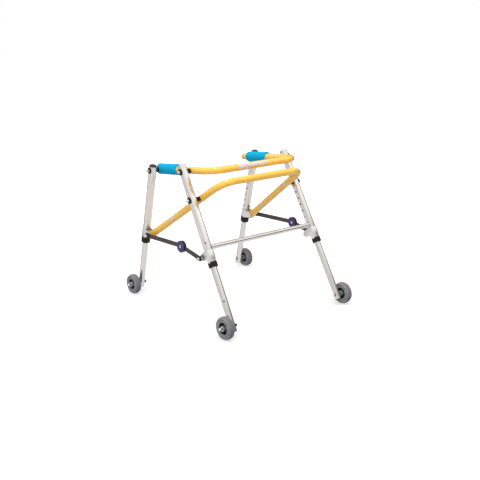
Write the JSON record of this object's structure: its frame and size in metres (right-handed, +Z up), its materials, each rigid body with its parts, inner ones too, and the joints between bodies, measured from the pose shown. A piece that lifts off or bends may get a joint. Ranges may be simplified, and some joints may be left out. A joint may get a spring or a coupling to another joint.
{
  "type": "wheeled walker",
  "caption": "Small folding walker that rolls behind its user on four wheels, with two foam grips, side braces and legs of adjustable height.",
  "frame": {"origin": "on the floor, midway between the four wheels", "axes": "+Z up, +Y towards the open front, where the user faces and walks, +X to the user's right"},
  "size_m": [0.6164, 0.6657, 0.5548],
  "materials": {
    "yellow_paint": "yellow powder coat on aluminium tube",
    "blue_foam": "closed-cell foam, matt",
    "aluminium": "satin anodised tube",
    "zinc": "zinc-plated steel",
    "black_plastic": "moulded, lightly grained",
    "brown_plastic": "moulded, lightly grained",
    "purple_plastic": "moulded, lightly grained",
    "grey_rubber": "solid grey tyre",
    "grey_plastic": "moulded wheel centre"
  },
  "bodies": {
    "upper_frame": {"grip_left": "blue_foam", "grip_right": "blue_foam", "pivot_bolt_top_front_left": "zinc", "pivot_bolt_top_front_right": "zinc", "pivot_bolt_top_rear_left": "zinc", "pivot_bolt_top_rear_right": "zinc", "spacer_top_front_left": "black_plastic", "spacer_top_front_right": "black_plastic", "spacer_top_rear_left": "black_plastic", "spacer_top_rear_right": "black_plastic", "upper_rail": "yellow_paint"},
    "rear_frame": {"bracket_rear_left": "zinc", "bracket_rear_right": "zinc", "collar_rear_left": "black_plastic", "collar_rear_right": "black_plastic", "leg_tube_rear_left": "aluminium", "leg_tube_rear_right": "aluminium", "stretcher": "aluminium"},
    "lower_frame": {"lower_rail": "yellow_paint", "pivot_bolt_mid_left": "zinc", "pivot_bolt_mid_right": "zinc", "spacer_mid_left": "black_plastic", "spacer_mid_right": "black_plastic"},
    "front_leg_left": {"bracket_front_left": "zinc", "collar_front_left": "black_plastic", "leg_tube_front_left": "aluminium", "pivot_bolt_low_left": "zinc", "top_plug_left": "brown_plastic"},
    "brace_front_left": {"brace_bar_front_left": "black_plastic"},
    "brace_rear_left": {"brace_bar_rear_left": "black_plastic"},
    "brace_knob_left": {"brace_knob_left": "purple_plastic"},
    "front_extension_left": {"leg_extension_front_left": "aluminium", "axle_front_left": "zinc"},
    "snap_button_front_left": {"snap_button_front_left": "zinc"},
    "front_wheel_left": {"tyre_front_left": "grey_rubber", "rim_front_left": "grey_plastic"},
    "rear_extension_left": {"leg_extension_rear_left": "aluminium", "axle_rear_left": "zinc"},
    "snap_button_rear_left": {"snap_button_rear_left": "zinc"},
    "rear_wheel_left": {"tyre_rear_left": "grey_rubber", "rim_rear_left": "grey_plastic"},
    "front_leg_right": {"bracket_front_right": "zinc", "collar_front_right": "black_plastic", "leg_tube_front_right": "aluminium", "pivot_bolt_low_right": "zinc", "top_plug_right": "brown_plastic"},
    "brace_front_right": {"brace_bar_front_right": "black_plastic"},
    "brace_rear_right": {"brace_bar_rear_right": "black_plastic"},
    "brace_knob_right": {"brace_knob_right": "purple_plastic"},
    "front_extension_right": {"leg_extension_front_right": "aluminium", "axle_front_right": "zinc"},
    "snap_button_front_right": {"snap_button_front_right": "zinc"},
    "front_wheel_right": {"tyre_front_right": "grey_rubber", "rim_front_right": "grey_plastic"},
    "rear_extension_right": {"leg_extension_rear_right": "aluminium", "axle_rear_right": "zinc"},
    "snap_button_rear_right": {"snap_button_rear_right": "zinc"},
    "rear_wheel_right": {"tyre_rear_right": "grey_rubber", "rim_rear_right": "grey_plastic"}
  },
  "joints": [
    {"name": "fold", "type": "hinge", "parent": "upper_frame", "child": "rear_frame", "pos_m": [0, -0.0026, 0.5267], "axis": [1, 0, 0], "range_deg": [0, 66]},
    {"name": "lower_rail_fold", "type": "hinge", "parent": "rear_frame", "child": "lower_frame", "pos_m": [0, -0.05728, 0.43534], "axis": [1, 0, 0], "range_deg": [-55, 0]},
    {"name": "front_leg_fold_left", "type": "hinge", "parent": "upper_frame", "child": "front_leg_left", "pos_m": [-0.2443, 0.1904, 0.5023], "axis": [1, 0, 0], "range_deg": [0, 37]},
    {"name": "brace_front_fold_left", "type": "hinge", "parent": "front_leg_left", "child": "brace_front_left", "pos_m": [-0.265, 0.20805, 0.25053], "axis": [1, 0, 0], "range_deg": [-51, 0]},
    {"name": "brace_hub_fold_left", "type": "hinge", "parent": "brace_front_left", "child": "brace_rear_left", "pos_m": [-0.265, -0.0252, 0.2633], "axis": [1, 0, 0], "range_deg": [0, 140]},
    {"name": "brace_knob_turn_left", "type": "hinge", "parent": "brace_rear_left", "child": "brace_knob_left", "pos_m": [-0.265, -0.0252, 0.2633], "axis": [1, 0, 0], "range_deg": [0, 90]},
    {"name": "front_height_left", "type": "slide", "parent": "front_leg_left", "child": "front_extension_left", "axis": [0, 0.217, -0.9762], "range_m": [-0.1016, 0.0254], "deforming": ["snap_button_front_left"]},
    {"name": "front_button_left", "type": "slide", "parent": "front_extension_left", "child": "snap_button_front_left", "axis": [-1, 0, 0], "range_m": [0, 0.0052], "stiffness_N_per_m": 1200},
    {"name": "front_wheel_spin_left", "type": "hinge", "parent": "front_extension_left", "child": "front_wheel_left", "pos_m": [-0.2805, 0.2936, 0.038], "axis": [1, 0, 0], "continuous": true},
    {"name": "rear_height_left", "type": "slide", "parent": "rear_frame", "child": "rear_extension_left", "axis": [-0.0196, -0.5135, -0.8579], "range_m": [-0.1016, 0.0254], "deforming": ["snap_button_rear_left"]},
    {"name": "rear_button_left", "type": "slide", "parent": "rear_extension_left", "child": "snap_button_rear_left", "axis": [-0.9998, 0.0101, 0.0168], "range_m": [0, 0.0052], "stiffness_N_per_m": 1200},
    {"name": "rear_wheel_spin_left", "type": "hinge", "parent": "rear_extension_left", "child": "rear_wheel_left", "pos_m": [-0.2805, -0.2936, 0.0405], "axis": [1, 0, 0], "continuous": true},
    {"name": "front_leg_fold_right", "type": "hinge", "parent": "upper_frame", "child": "front_leg_right", "pos_m": [0.2443, 0.1904, 0.5023], "axis": [1, 0, 0], "range_deg": [0, 37]},
    {"name": "brace_front_fold_right", "type": "hinge", "parent": "front_leg_right", "child": "brace_front_right", "pos_m": [0.265, 0.20805, 0.25053], "axis": [1, 0, 0], "range_deg": [-51, 0]},
    {"name": "brace_hub_fold_right", "type": "hinge", "parent": "brace_front_right", "child": "brace_rear_right", "pos_m": [0.265, -0.0252, 0.2633], "axis": [1, 0, 0], "range_deg": [0, 140]},
    {"name": "brace_knob_turn_right", "type": "hinge", "parent": "brace_rear_right", "child": "brace_knob_right", "pos_m": [0.265, -0.0252, 0.2633], "axis": [1, 0, 0], "range_deg": [0, 90]},
    {"name": "front_height_right", "type": "slide", "parent": "front_leg_right", "child": "front_extension_right", "axis": [0, 0.217, -0.9762], "range_m": [-0.1016, 0.0254], "deforming": ["snap_button_front_right"]},
    {"name": "front_button_right", "type": "slide", "parent": "front_extension_right", "child": "snap_button_front_right", "axis": [1, 0, 0], "range_m": [0, 0.0052], "stiffness_N_per_m": 1200},
    {"name": "front_wheel_spin_right", "type": "hinge", "parent": "front_extension_right", "child": "front_wheel_right", "pos_m": [0.2805, 0.2936, 0.038], "axis": [1, 0, 0], "continuous": true},
    {"name": "rear_height_right", "type": "slide", "parent": "rear_frame", "child": "rear_extension_right", "axis": [0.0196, -0.5135, -0.8579], "range_m": [-0.1016, 0.0254], "deforming": ["snap_button_rear_right"]},
    {"name": "rear_button_right", "type": "slide", "parent": "rear_extension_right", "child": "snap_button_rear_right", "axis": [0.9998, 0.0101, 0.0168], "range_m": [0, 0.0052], "stiffness_N_per_m": 1200},
    {"name": "rear_wheel_spin_right", "type": "hinge", "parent": "rear_extension_right", "child": "rear_wheel_right", "pos_m": [0.2805, -0.2936, 0.0405], "axis": [1, 0, 0], "continuous": true}
  ],
  "couplings": [
    {"joint": "lower_rail_fold", "follows": "fold", "ratio": -0.8267},
    {"joint": "front_leg_fold_left", "follows": "fold", "ratio": 0.5575},
    {"joint": "brace_front_fold_left", "follows": "fold", "ratio": -0.758},
    {"joint": "brace_hub_fold_left", "follows": "fold", "ratio": 2.0168},
    {"joint": "front_leg_fold_right", "follows": "fold", "ratio": 0.5575},
    {"joint": "brace_front_fold_right", "follows": "fold", "ratio": -0.758},
    {"joint": "brace_hub_fold_right", "follows": "fold", "ratio": 2.0168}
  ]
}
